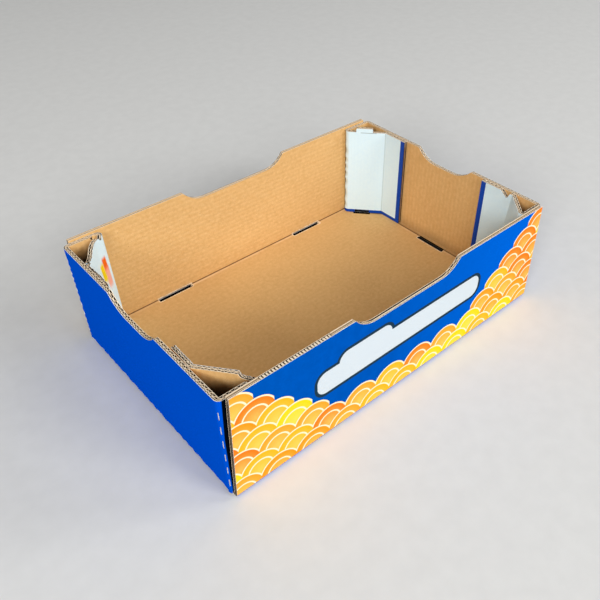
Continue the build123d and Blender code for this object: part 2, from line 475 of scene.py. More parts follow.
# %% [markdown]
# ## White post faces
# The corner posts show the outside paper: coated white, with the blue of the print
# running over at the glue tab's free edge and along the foot. A soft unevenness, from the
# glue line behind, catches the light.

# %% Marks on the posts
tab_border, foot_border = 9.0, 6.0
fold_line_y = half_width - 67.5
nose_y = half_width - 13.5
nose_slope = 1.35
stacking_tab_x, stacking_tab_half = 264.5, 9.6
stray_stripes = (
    (paint(246, 176, 160), 17.0, 6.5, 84.0, 132.0),
    (paint(244, 214, 0), 26.0, 7.0, 98.0, 142.0),
    (paint(242, 104, 10), 17.0, 5.0, 116.0, 148.0),
)


def stray_ink(recipe, paper):
    """The print's bleed on the back left panel: three upright stripes with soft edges."""
    x, y, z = recipe.spot()
    from_nose = recipe.sum("SUBTRACT", nose_y, y) * nose_slope
    at_back_left = (x < 0.0) * (y > 0.0)
    for colour, middle, half, bottom, top in stray_stripes:
        in_width = recipe.step(abs(from_nose - middle), half, half * 0.5)
        in_height = recipe.step(z, bottom, bottom + 14.0) * recipe.step(z, top, top - 8.0)
        paper = recipe.mix(in_width * in_height * at_back_left, paper, colour)
    return paper


def tab_crease(recipe):
    """1 on the line where the stacking tab stands on its post."""
    x, y, z = recipe.spot()
    in_tab = recipe.within(x, stacking_tab_x, stacking_tab_half) * (y > 0.0)
    return in_tab * recipe.step(abs(z - (short_wall_top - 0.8)), 0.9, 0.3)


def fold_crease(recipe):
    """1 on the line where the back right glue tab is folded off its panel."""
    x, y, _ = recipe.spot()
    on_line = recipe.step(abs(y - fold_line_y), 0.8, 0.2)
    return on_line * (x > tab_face_x - board - 2.0)


# %% [markdown]
# ## White liner
# The white is a shade cooler than the light, or it would look cream beside the kraft. The
# borders of the print waver a little, as ink does on rough board.

# %% White liner
white_dark, white_light = paint(217, 243, 255), paint(222, 246, 255)
border_blue = paint(0, 66, 170)
white_crease_and_shade = paint(120, 130, 134)


def make_post_white():
    recipe = Recipe("white_liner")
    x, y, z = recipe.spot()
    front_left, front_right = (x < 0.0) * (y < 0.0), (x > 0.0) * (y < 0.0)
    border_ends = tab_end + tab_border, bent_tab_end + tab_border
    from_end = abs(y) - recipe.range(front_left, 0.0, 1.0, *border_ends)
    wobble = recipe.range(recipe.noise(260.0), 0.3, 0.7, -0.15, 0.15)
    at_tab = recipe.step(from_end + wobble, 0.2, -0.2)
    border_top = foot + foot_border
    at_foot = recipe.step(z + wobble, border_top + 0.2, border_top - 0.2)
    paper = recipe.layer(white_dark, white_light, recipe.noise(180.0, 3.0, 0.6), 0.3, 0.7)
    paper = stray_ink(recipe, paper)
    # The tab and fold creases are crease marks with painted shade.
    for crease, strength in ((tab_crease(recipe), 0.7), (fold_crease(recipe), 0.45)):
        paper = recipe.mix(crease * strength, paper, white_crease_and_shade)
    tone = recipe.mix(recipe.sum("MAXIMUM", at_tab, at_foot), paper, border_blue)
    wide_dents = recipe.stretch(recipe.place, (26.0, 26.0, 14.0))
    dents = recipe.noise(1.0, 1.0, vector=wide_dents) * (front_right * 5.0 + 2.0)
    height = dents + washboard(recipe, fine_pitch) * 0.04
    return recipe.finish(tone, 0.5, height, 0.5, 0.2)


post_liner = make_post_white()
print("white liner nodes:", len(post_liner.node_tree.nodes))


# %% [markdown]
# ## Printed outside
# The outside is flexo print on coated paper: a strong blue ground, a plain white plate
# with a dark edge, and a field of round scales in orange and yellow that climbs at both
# ends of the long walls. Everything is drawn with distances to centres and lines, so it
# stays sharp at any size and needs no picture.

# %% Shapes of the print
scale_radius, scale_pitch, scale_rise = 33.0, 57.0, 25.0
scale_rows = 7
field_low, field_climb, field_curve = 26.0, 150.0, 2.2
scale_colours = (
    paint(232, 108, 8), paint(240, 138, 6), paint(242, 170, 20),
    paint(244, 204, 0), paint(238, 150, 36),
)
scale_glow, scale_rim = paint(244, 214, 110), paint(240, 226, 190)


def chance_colour(recipe, seed):
    """One of the scales' colours, by a chance that the seed fixes."""
    chance = recipe.node("ShaderNodeTexWhiteNoise", {"W": seed}, noise_dimensions="1D")[0]
    colour = recipe.node("ShaderNodeValToRGB", {0: chance})[0]
    ramp = colour.node.color_ramp
    ramp.interpolation = "CONSTANT"
    while len(ramp.elements) < len(scale_colours):
        ramp.elements.new(1.0)
    for number, (stop, tone) in enumerate(zip(ramp.elements, scale_colours)):
        stop.position = number / len(scale_colours)
        stop.color = tone
    return colour


def scale_row(recipe, u, v, row, ground):
    """One row of round scales, painted over the ground where the field reaches."""
    offset, height = scale_pitch / 2 * (row % 2), row * scale_rise
    number = recipe.sum("ROUND", (u - offset) / scale_pitch)
    centre = recipe.sum("MULTIPLY_ADD", number, scale_pitch, offset)
    distance = recipe.distance(u - centre, v - height)
    out = abs(centre / half_length)
    present = out ** field_curve * field_climb + field_low > height
    tone = chance_colour(recipe, recipe.sum("MULTIPLY_ADD", number, 3.7, row * 11.3))
    tone = recipe.mix(recipe.range(distance, 0.0, scale_radius, 0.55, 0.0), tone, scale_glow)
    for ring in (1.0, 0.62):
        off_ring = abs(distance - (scale_radius * ring - 1.3))
        tone = recipe.mix(recipe.step(off_ring, 1.5, 0.9), tone, scale_rim)
    inside = recipe.step(distance, scale_radius + 0.3, scale_radius - 0.3)
    return recipe.mix(inside * present, ground, tone)


# %% [markdown]
# ## The printed liner
# One recipe prints the whole outside. On the long walls the blue is painted a little lighter to
# the right, as painted light, the rows of scales lie over it, the lowest last, and then the plate.
# The short walls keep the plain blue in a lighter copy that is painted light, with a strip of
# painted shade where the flap goes behind the long wall's raw end.

# %% Print
print_dark, print_blue, painted_light_blue = paint(0, 75, 164), paint(0, 80, 174), paint(0, 94, 206)
# A lighter copy of the blue for the short walls: painted light.
side_blue = paint(0, 78, 200)
worn_ink = paint(150, 176, 212)
flap_gap_shade = paint(5, 10, 18)
bare_bottom = paint(226, 230, 232)
plate_white, plate_dark = paint(200, 209, 215), paint(30, 54, 72)
plate_corner, plate_edge = 15.0, 5.0
plate_forms = (((-5.5, 106.0), (156.5, 19.0)), ((-78.0, 118.0), (47.0, 21.0)))
flap_outside_y = wall_face_y - glue_line
strip_width = 5.0


def long_wall_art(recipe, u, v):
    """The print of a long wall: ground, scales and plate."""
    art = recipe.layer(print_dark, print_blue, recipe.noise(60.0, 3.0), 0.3, 0.7)
    # The blue is painted lighter to the right: painted light.
    art = recipe.layer(art, painted_light_blue, u, -0.2 * half_length, half_length)
    for row in reversed(range(scale_rows)):
        art = scale_row(recipe, u, v, row, art)
    forms = [rounded_plate(recipe, u, v, *form, plate_corner) for form in plate_forms]
    plate = recipe.sum("MINIMUM", *forms)
    for edge, tone in ((plate_edge, plate_dark), (0.0, plate_white)):
        art = recipe.mix(recipe.step(plate, edge + 0.3, edge - 0.3), art, tone)
    return art


def beside_raw_end(recipe, x, y, z):
    """Painted shade: 1 on the flaps' strip beside the raw ends of the long walls, which lean."""
    raw_end_x = recipe.range(z, foot, long_wall_top, long_wall_foot_end, long_wall_end)
    past_end = abs(x) - raw_end_x
    on_flap = recipe.step(abs(abs(y) - flap_outside_y), 2.0, 1.2)
    return on_flap * recipe.step(past_end, strip_width + 0.4, strip_width - 0.4)


def make_print():
    recipe = Recipe("printed_liner")
    x, y, z = recipe.spot()
    u = x * (recipe.sum("SIGN", y) * -1.0)
    # Painted shade on the flap beside the raw ends.
    tone = recipe.mix(beside_raw_end(recipe, x, y, z), side_blue, flap_gap_shade)
    tone = recipe.mix(abs(y) > half_width - 0.2, tone, long_wall_art(recipe, u, z))
    tone = recipe.mix(z < 0.05, tone, bare_bottom)
    tone = recipe.layer(tone, worn_ink, recipe.noise(420.0, 4.0, 0.7), 0.7, 0.8, 0.3)
    height = washboard(recipe, fine_pitch) * 0.12 + recipe.noise(300.0)
    return recipe.finish(tone, 0.6, height, gloss=0.0)


printed = make_print()
print("print nodes:", len(printed.node_tree.nodes))


# %% [markdown]
# ## Taking the sheet apart
# The solid's surface is three things: the brown face, the white face and the cut edges
# between them. A face belongs with its neighbour when the edge they share isn't sharp, so
# a walk from one triangle on the floor finds the whole brown face, round every fold.
# Making the papers from the solid keeps them exactly on it.

# %% Brown face, white face and cut edges
sharp = math.radians(60)
level_enough, facing = 0.99, 0.8
weld = 0.005 * MM


def smooth_region(start):
    """All faces reached from one without crossing a sharp edge."""
    found, todo = {start}, [start]
    while todo:
        for edge in todo.pop().edges:
            if len(edge.link_faces) == 2 and edge.calc_face_angle() < sharp:
                for face in edge.link_faces:
                    if face not in found:
                        found.add(face)
                        todo.append(face)
    return found


sheet = bmesh.new()
sheet.from_mesh(solid.data)
bmesh.ops.remove_doubles(sheet, verts=sheet.verts, dist=weld)
bmesh.ops.recalc_face_normals(sheet, faces=sheet.faces)


def widest_face(height):
    level = [face for face in sheet.faces if abs(face.normal.z) > level_enough
             and abs(face.calc_center_median().z - height) < 0.1 * MM]
    return max(level, key=lambda face: face.calc_area())


def total_area(faces):
    return round(sum(face.calc_area() for face in faces), 4)


brown_faces = smooth_region(widest_face(board * MM))
white_faces = smooth_region(widest_face(0.0))
cut_faces = set(sheet.faces) - brown_faces - white_faces
brown_points = {point for face in brown_faces for point in face.verts}
for name, faces in (("brown", brown_faces), ("white", white_faces), ("cut", cut_faces)):
    print(name, total_area(faces), "square metres in", len(faces), "triangles")

# %% [markdown]
# ## Making a piece of the sheet
# Each group of faces becomes its own mesh, with the sheet's map on it. On the floor and
# the long walls the waves run along the tray. On the short walls and the posts they stand
# upright. Which of these a face belongs to follows from its place and the way it looks.

# %% Pieces with the sheet's map


def wave_frame(middle, normal):
    """Directions along and across the waves at a face."""
    if abs(normal.z) > facing:
        return Vector((1, 0, 0)), Vector((0, 1, 0))
    if abs(middle.y) > (wall_face_y - 0.2) * MM:
        return Vector((1, 0, 0)), Vector((0, 0, 1))
    return Vector((0, 0, 1)), Vector((-normal.y, normal.x, 0)).normalized()


def sheet_piece(name, faces, materials):
    """A mesh object made of some of the sheet's faces."""
    part = bmesh.new()
    twin = {}
    uv = part.loops.layers.uv.new(map_name)
    depth = part.verts.layers.float.new("depth")
    for face in sorted(faces, key=lambda f: f.index):
        for point in face.verts:
            if point not in twin:
                twin[point] = part.verts.new(point.co)
                twin[point][depth] = 0.0 if point in brown_points else 1.0
        copy = part.faces.new([twin[point] for point in face.verts])
        along, across = wave_frame(face.calc_center_median(), face.normal)
        for loop in copy.loops:
            loop[uv].uv = (loop.vert.co.dot(along), loop.vert.co.dot(across))
    mesh = bpy.data.meshes.new(name)
    part.to_mesh(mesh)
    part.free()
    for material in materials:
        mesh.materials.append(material)
    return placed(name, mesh)


# %% [markdown]
# ## Torn tops
# Three posts have torn tops, and paper doesn't tear along a smooth line. Every torn edge
# gets a point each millimetre or so, and chance pulls each one down a little.

# %% Torn tops
tear_spacing = 1.3
post_inner_x = 238.0


def is_torn(place):
    """True on the post tops that have lost some of their height. Millimetres."""
    on_post = abs(place.x) > post_inner_x and bent_tab_end - 1.0 < abs(place.y) < wall_face_y - 1.0
    return on_post and lowest_top < place.z < short_wall_top - 0.4


def open_edges(part):
    return [edge for edge in part.edges if len(edge.link_faces) == 1]


def rag(piece, bite):
    """Makes the torn edges of a piece ragged: more points, each pulled down by chance."""
    part = bmesh.new()
    part.from_mesh(piece.data)
    torn = [edge for edge in open_edges(part)
            if all(is_torn(point.co / MM) for point in edge.verts)]
    for edge in torn:
        cuts = int(edge.calc_length() / (tear_spacing * MM))
        if cuts:
            bmesh.ops.subdivide_edges(part, edges=[edge], cuts=cuts)
    ends = {point for edge in open_edges(part) for point in edge.verts}
    for point in part.verts:
        if point in ends and is_torn(point.co / MM):
            point.co.z -= bite * MM * noise.random()
    part.to_mesh(piece.data)
    part.free()
    return len(torn)


# %% [markdown]
# ## Paper from a face
# A face of the sheet becomes paper by growing inwards, so the outside stays exactly where the
# solid has it. The rims take the finish of cut paper, and the back the painted shade of a channel.

# %% Paper from a face


def bake(piece):
    """Replaces a piece's mesh by what its modifiers make of it."""
    bpy.context.view_layer.update()
    evaluated = piece.evaluated_get(bpy.context.evaluated_depsgraph_get())
    mesh = bpy.data.meshes.new_from_object(evaluated)
    mesh.name = piece.name
    piece.modifiers.clear()
    piece.data = mesh
    return piece


def give_thickness(piece, thickness, offset=-1.0, back=0):
    """Turns a face of the sheet into paper, with its own finish on the rims and the back."""
    thick = piece.modifiers.new("paper", "SOLIDIFY")
    thick.thickness = thickness * MM
    thick.offset = offset
    thick.material_offset_rim = 1
    thick.material_offset = back
    return bake(piece)


# %% [markdown]
# ## Bumps at the folds
# When a board is folded along its waves the outer paper is pushed flat over some crests and
# stands out between them, so a fold seen from the side has small bumps. To keep them
# beside the fold, the paper first gets a row of new points along both sides of it. A fold
# is given by a place on it, the axis it runs along, the way out of its bend, and a shift
# of its wave, which keeps two folds from looking alike.

# %% Cutting beside a fold
Fold = namedtuple("Fold", "place axis outwards shift")
fine_cut = 0.01 * MM


def from_fold(place, fold):
    """Distance of a place from a fold along one of the axes."""
    gap = place - fold.place
    gap[fold.axis] = 0.0
    return gap.length


def cut_across(part, geometry, axis, spot):
    """Cuts some of the paper by the plane that crosses an axis at a spot."""
    normal = Vector()
    normal[axis] = 1.0
    keys = {"dist": fine_cut, "plane_co": spot, "plane_no": normal}
    return bmesh.ops.bisect_plane(part, geom=geometry, **keys)["geom"]


def split_beside(part, fold, near):
    """Cuts the paper on both sides of a fold, so that its bumps stay beside it."""
    for axis in {0, 1, 2} - {fold.axis}:
        for side in (-near, near):
            spot = fold.place.copy()
            spot[axis] += side
            everything = [*part.verts, *part.edges, *part.faces]
            cut_across(part, everything, axis, spot * MM)


# %% [markdown]
# ## Moving the paper at a fold
# The strip is cut across in short steps, and then each point of it is moved inwards by a
# sine. The bumps drift a little out of step, since paper is never even, fade towards both
# ends of the fold and die away beside it.

# %% Bumps at the folds
cuts_in_bump = 6
drift, drift_length = 0.35, 17.0


def wave_folds(piece, folds, near, height, pitch):
    """Gives the paper at straight folds the small bumps that folding leaves in it."""
    part = bmesh.new()
    part.from_mesh(piece.data)
    for fold in folds:
        split_beside(part, fold, near)
    beside = {point for point in part.verts
              if any(from_fold(point.co / MM, fold) < near for fold in folds)}
    geometry = [one for kind in (part.edges, part.faces) for one in kind
                if not beside.isdisjoint(one.verts)]
    corners = {point for one in geometry for point in one.verts}
    geometry = [point for point in part.verts if point in corners] + geometry
    axis = folds[0].axis
    low, high, taper = -flap_face_y, flap_face_y, 14.0
    if axis == 2:
        low, high, taper = foot, short_wall_top - reach - 3.0, 12.0
    first, last = math.ceil(low / pitch * cuts_in_bump), int(high / pitch * cuts_in_bump)
    for level in range(first, last):
        spot = Vector()
        spot[axis] = level * pitch / cuts_in_bump * MM
        geometry = cut_across(part, geometry, axis, spot)
    for point in part.verts:
        place = point.co / MM
        fold = next((fold for fold in folds if from_fold(place, fold) < near), None)
        if fold and low < place[axis] < high:
            share = 1.0 - from_fold(place, fold) / near
            turn = place[axis] / pitch + drift * math.sin(place[axis] / drift_length + fold.shift)
            turn += fold.shift
            fade = min(1.0, (place[axis] - low) / taper, (high - place[axis]) / taper)
            wave = 0.5 * math.sin(math.tau * turn) - 0.5
            point.co += fold.outwards * height * share * fade * wave * MM
    part.to_mesh(piece.data)
    part.free()


# %% [markdown]
# ## The three liners
# The brown face is one paper. The white face is two pieces, because the posts show it
# bare and the walls show it printed. The picture shows bumps on the back left corner, on
# the left wall's foot and on the nose of the back right post. The back right corner and
# the right wall's foot are made like those across from them.

# %% Liners
bend_middle = 2.2
tear_seed = 4
corner_folds, foot_folds = [], []
for side in (-1, 1):
    x = side * (half_length - bend_middle)
    corner = Vector((x, wall_face_y - glue_line - bend_middle, 0))
    corner_folds.append(Fold(corner, 2, Vector((side, 1, 0)).normalized(), side))
    under = Vector((x, 0, bend_middle))
    foot_folds.append(Fold(under, 1, Vector((side, 0, -1)).normalized(), side))
nose = Vector((half_length - 60.0, flap_face_y + 3.0, 0))
nose_folds = [Fold(nose, 2, Vector((-0.95, 0.3, 0)), 0.3)]


def is_post_face(face):
    middle = face.calc_center_median()
    within = abs(middle.x) < (tab_face_x + 0.1) * MM and abs(middle.y) < (wall_face_y - 0.8) * MM
    return within and middle.z > (board + 0.3) * MM


post_faces = {face for face in white_faces if is_post_face(face)}
inside_liner = sheet_piece("inside_liner", brown_faces, [kraft, kraft_rim, channel])
post_linings = sheet_piece("post_linings", post_faces, [post_liner, white_rim, channel])
wall_faces = white_faces - post_faces
outside_liner = sheet_piece("outside_liner", wall_faces, [printed, white_rim, channel])
liners = [inside_liner, post_linings, outside_liner]
noise.seed_set(tear_seed)
torn_edges = rag(inside_liner, bite=1.2) + rag(post_linings, bite=2.2)
print("torn edges made ragged:", torn_edges)
wave_folds(post_linings, nose_folds, near=8.5, height=3.0, pitch=19.0)
wave_folds(outside_liner, corner_folds, near=7.5, height=3.2, pitch=12.5)
wave_folds(outside_liner, foot_folds, near=8.0, height=2.6, pitch=20.0)
for piece in liners:
    give_thickness(piece, liner, back=2)
    print(piece.name, len(piece.data.polygons), "faces")

# %% [markdown]
# ## Painted plies
# The edges along the waves, the slots and the feet show only thin lines, so there the plies are
# painted on the solid's own cut faces. Each point of such a face knows its depth in the board, 0
# on the brown side and 1 on the white side, and bands at three depths stand for the liners and the
# flat paper between them. The dark between the bands stands for the waves, with painted shade in
# their open channels. The walls of the slots get painted shade, as little light gets in.

# %% Painted plies
ply_band = 0.07
ply_bands = (
    (0.0, paint(216, 184, 142)), (0.53, paint(196, 164, 124)), (1.0, paint(236, 236, 232)),
)


def make_painted_plies():
    recipe = Recipe("painted_plies")
    wobble = recipe.range(recipe.noise(240.0), 0.3, 0.7, -0.03, 0.03)
    depth = wobble + recipe.node("ShaderNodeAttribute", attribute_name="depth")["Fac"]
    # The dark between the bands: the waves, with painted shade in their open channels.
    tone = recipe.mix(recipe.noise(300.0), paint(30, 22, 14), paint(84, 64, 44))
    for place, colour in ply_bands:
        on_band = recipe.step(abs(depth - place), ply_band * 1.4, ply_band * 0.8)
        tone = recipe.mix(on_band, tone, colour)
    x, y, z = recipe.spot()
    in_floor = recipe.within(x, 0.0, wall_face_x - 1.0) * recipe.within(y, 0.0, wall_face_y + 0.1)
    in_slot = in_floor * recipe.step(z, board - 0.4, board - 1.6)
    # Painted shade on the walls of the slots.
    return recipe.finish(recipe.mix(in_slot, tone, painted_gap_tone), cut_roughness)


painted_plies = make_painted_plies()
raw_end_x = 270.0
scoop_depth = 25.0


def shows_waves(face):
    """True on top edges and on the raw ends of the long walls, where real waves go."""
    middle = face.calc_center_median() / MM
    on_top = middle.z > short_wall_top - scoop_depth and abs(face.normal.z) > 0.03
    across = abs(face.normal.x) > facing and abs(middle.y) > wall_face_y - 0.1
    return on_top or across and abs(middle.x) > raw_end_x


painted_faces = {face for face in cut_faces if not shows_waves(face)}
edge_plies = sheet_piece("edge_plies", painted_faces, [painted_plies])
print("painted on", len(edge_plies.data.polygons), "of", len(cut_faces), "cut faces")

# %% [markdown]
# ## Where the sheet's edges run
# The waves follow the sheet, so their edges are listed first. On each short wall one edge
# runs from glue tab to glue tab: post, flap, corner, wall, corner, flap, post. It is drawn
# on the brown face, with the white face on its right, once at the top and once at the
# foot, because three posts lean. A ray dropped on the solid's cut faces gives the height
# of every scoop, stacking tab and tear.

# %% Posts
posts = {
    ("right", "back"): dict(nose=(53.5, 53.5), fold=(65.0, 65.0), end=tab_end),
    ("right", "front"): dict(nose=(53.5, 41.5), fold=(65.0, 51.0), end=tab_end),
    ("left", "back"): dict(nose=(53.5, 53.5), fold=(65.0, 57.0), end=tab_end, push=(0.3, 5.0)),
    ("left", "front"): dict(nose=(53.5, 53.5), fold=(66.0, 72.0), end=bent_tab_end, stand_off=3.0),
}
push_place, push_radius = 0.3, 40.0
arc_steps = 8


def post_route(post, at):
    """Corners and radii from the middle of a short wall to the end of a glue tab."""
    nose = Vector((half_length - post["nose"][at], flap_face_y))
    fold = Vector((tab_face_x, half_width - post["fold"][at]))
    corners = [Vector((wall_face_x, 0)), Vector((wall_face_x, flap_face_y)), nose, fold]
    radii = [0, crease_radius, crease_radius, bend_radius]
    if "push" in post:
        along = (fold - nose).normalized()
        away = Vector((-along.y, along.x))
        corners.insert(3, nose + (fold - nose) * push_place + away * post["push"][at])
        radii.insert(3, push_radius)
    corners.append(Vector((tab_face_x - post.get("stand_off", 0.0), post["end"])))
    return corners, radii + [0]


def turned(vector, angle):
    cos, sin = math.cos(angle), math.sin(angle)
    return Vector((vector.x * cos - vector.y * sin, vector.x * sin + vector.y * cos))


def rounded(corners, radii):
    """Points of a route with its corners rounded, each with the direction of travel."""
    points = []
    for number, (corner, radius) in enumerate(zip(corners, radii)):
        ahead = (corners[number + 1] - corner).normalized() if number + 1 < len(corners) else None
        behind = (corner - corners[number - 1]).normalized() if number else ahead
        if not radius:
            points.append((corner, ahead or behind))
            continue
        turn = behind.angle_signed(ahead)
        inwards = Vector((-behind.y, behind.x)) * (-1 if turn > 0 else 1)
        start = corner - behind * radius * math.tan(abs(turn) / 2)
        centre = start + inwards * radius
        for step in range(arc_steps + 1):
            angle = -turn * step / arc_steps
            points.append((centre + turned(start - centre, angle), turned(behind, angle)))
    return points


# %% [markdown]
# ## Following the short walls
# The route is filled with points less than a millimetre apart, or the waves would come out
# angular. Top and foot are filled alike, so each point knows which way the sheet leans.

# %% Heights and filled routes
sheet.verts.index_update()
cut_tree = BVHTree.FromPolygons(
    [point.co.copy() for point in sheet.verts],
    [[point.index for point in face.verts] for face in sheet.faces if face in cut_faces],
)
sky = 250.0
edge_spacing = 0.8


def top_height(x, y, otherwise=short_wall_top):
    """Height of the sheet's cut edge over a spot on the floor, in millimetres."""
    hit = cut_tree.ray_cast(Vector((x, y, sky)) * MM, Vector((0, 0, -1)))[0]
    return hit.z / MM if hit and hit.z > lowest_top * MM else otherwise


def filled(*routes):
    """The same routes with more points between their own, as many in each."""
    made = [[route[0]] for route in routes]
    for number in range(1, len(routes[0])):
        gap = (routes[0][number][0] - routes[0][number - 1][0]).length
        count = max(1, math.ceil(gap / edge_spacing))
        for step in range(1, count + 1):
            for points, route in zip(made, routes):
                (before, start), (after, stop) = route[number - 1], route[number]
                heading = start.lerp(stop, step / count).normalized()
                points.append((before.lerp(after, step / count), heading))
    return made


# %% [markdown]
# ## From a route to an edge
# The board's own cut edge gives the height at each point of the top route. From there the
# point slides along the lean of the sheet down to that height. How far the route has come
# tells where on the wave the point lies.

# %% Edges of the short walls


def half_edge(post, mirror_x, mirror_y):
    """Edge from the middle of a short wall to the end of a glue tab."""
    tops, feet = filled(rounded(*post_route(post, 1)), rounded(*post_route(post, 0)))
    rows, travelled, last = [], 0.0, tops[0][0]
    height = short_wall_top
    for (top, heading), (low, _) in zip(tops, feet):
        travelled += (top - last).length
        last = top
        across = Vector((heading.y, -heading.x, 0.0))
        middle = top.to_3d() + across * board / 2
        height = top_height(middle.x * mirror_x, middle.y * mirror_y, height)
        lean = Vector((low.x - top.x, low.y - top.y, foot - short_wall_top))
        drop = (short_wall_top - height) / (short_wall_top - foot)
        place = Vector((top.x, top.y, short_wall_top)) + lean * drop
        mirror = Vector((mirror_x, mirror_y, 1.0))
        ways = [way * mirror for way in (place, across, lean.normalized())]
        rows.append((*ways, travelled * mirror_y))
    return rows


def short_wall_edge(side):
    """Edge of one short wall with its two posts: rows of place, across, inwards and wave."""
    mirror_x = 1 if side == "right" else -1
    front = half_edge(posts[side, "front"], mirror_x, -1)
    back = half_edge(posts[side, "back"], mirror_x, 1)
    return front[:0:-1] + back


short_edges = {side: short_wall_edge(side) for side in ("left", "right")}
print("short wall edges:", {side: len(rows) for side, rows in short_edges.items()}, "points")

# %% [markdown]
# ## Edges of the long walls
# Along the top the waves lie flat, so going down from the edge crosses them. At the raw
# ends the waves point at the viewer, and going in follows them.

# %% Edges of the long walls
tooth_pitch, tooth_width = 4.45, 2.3
tooth_height, tooth_drop = 3.0, 1.7
tooth_depth = board - 2 * liner - 0.6
raw_end_drop = 3.0


def long_wall_top_edge(mirror_y):
    rows = []
    count = math.ceil(2 * long_wall_end / (2 * edge_spacing))
    for step in range(count + 1):
        x = -long_wall_end + 2 * long_wall_end * step / count
        inset = 0.02 if step in (0, count) else 0.0
        height = top_height(x * (1 - inset), mirror_y * (wall_face_y + board / 2))
        if mirror_y < 0 and toothed[0] < x < toothed[1]:
            height -= tooth_drop
        place = Vector((x, mirror_y * wall_face_y, height))
        rows.append((place, Vector((0, mirror_y, 0)), Vector((0, 0, -1)), height))
    return rows


def raw_end_edge(mirror_x, mirror_y):
    route = [
        Vector((wall_face_y, long_wall_top - raw_end_drop)),
        Vector((wall_face_y, board)),
        Vector((bottom_corner_y, board)),
    ]
    rows, travelled, last = [], 0.0, route[0]
    for place, heading in filled(rounded(route, [0, crease_radius, 0]))[0]:
        travelled += (place - last).length
        last = place
        white = Vector((-heading.y, heading.x))
        share = max(0.0, (place.y - foot) / (long_wall_top - foot))
        x = long_wall_foot_end + (long_wall_end - long_wall_foot_end) * share
        where = Vector((x * mirror_x, place.x * mirror_y, place.y))
        across = Vector((0, white.x * mirror_y, white.y))
        rows.append((where, across, Vector((-mirror_x, 0, 0)), long_wall_top - travelled))
    return rows


def tooth_places(start, stop):
    """Middles of the teeth on a stretch of the front wall's top edge."""
    y = -(wall_face_y + board - liner - tooth_depth / 2)
    count = int((stop - start) / tooth_pitch)
    spots = [start + (number + 0.5) * tooth_pitch for number in range(count)]
    return [Vector((x, y, top_height(x, y) - tooth_height / 2 - 0.1)) for x in spots]


long_edges = {mirror_y: long_wall_top_edge(mirror_y) for mirror_y in (-1, 1)}
teeth = tooth_places(*toothed)
raw_edges = [raw_end_edge(mirror_x, mirror_y) for mirror_x in (-1, 1) for mirror_y in (-1, 1)]
print("long wall edges:", [len(rows) for rows in long_edges.values()], "raw ends:", len(raw_edges))

# %% [markdown]
# ## Trees that make meshes
# A Geometry Nodes tree makes a mesh from another by rule, and its named inputs let one
# tree serve many pieces. Every tree here ends alike: what it copied is made real, so that
# it can leave Blender as a plain mesh, and gets its paper.

# %% Tree helper
class Tree(Nodes):
    """A Geometry Nodes tree with named inputs, which makes a new mesh from a mesh."""

    def __init__(self, name, sockets):
        super().__init__(bpy.data.node_groups.new(name, "GeometryNodeTree"))
        new_socket = self.tree.interface.new_socket
        new_socket("Geometry", in_out="OUTPUT", socket_type="NodeSocketGeometry")
        for label, kind in {"Geometry": "Geometry", **sockets}.items():
            new_socket(label, in_out="INPUT", socket_type="NodeSocket" + kind)
        sources = self.node("NodeGroupInput")
        self.inputs = {source.name: Number(self, source) for source in sources if source.name}

    def vector(self, operation, *values, **inputs):
        keys = {**dict(enumerate(values)), **inputs}
        return self.node("ShaderNodeVectorMath", keys, operation=operation)[0]

    def finish(self, geometry):
        """Makes the copies real, gives them their paper and hands them over."""
        real = self.node("GeometryNodeRealizeInstances", {"Geometry": geometry})[0]
        keys = {"Geometry": real, "Material": self.inputs["Paper"]}
        output = self.tree.nodes.new("NodeGroupOutput").inputs[0]
        self.feed(output, self.node("GeometryNodeSetMaterial", keys)[0])
        return self.tree


def sampled(tree, geometry, value, kind, number):
    """What a field is at the point of the edge with this number."""
    if isinstance(value, str):
        value = tree.node("GeometryNodeInputNamedAttribute", {"Name": value}, data_type=kind)[0]
    keys = {"Geometry": geometry, "Value": value, "Index": number}
    return tree.number("GeometryNodeSampleIndex", keys, data_type=kind, domain="POINT")


# %% [markdown]
# ## A ply grown from an edge
# Geometry Nodes grow every inner paper from its edge. A grid gets one column for each
# point of the edge and as many rows as the shape needs. Each point of the grid is set in
# from the edge, then pushed across the board by a sine of how far along the waves it
# lies. One tree makes both wavy papers and, with no height, the flat one.

# %% Ply tree


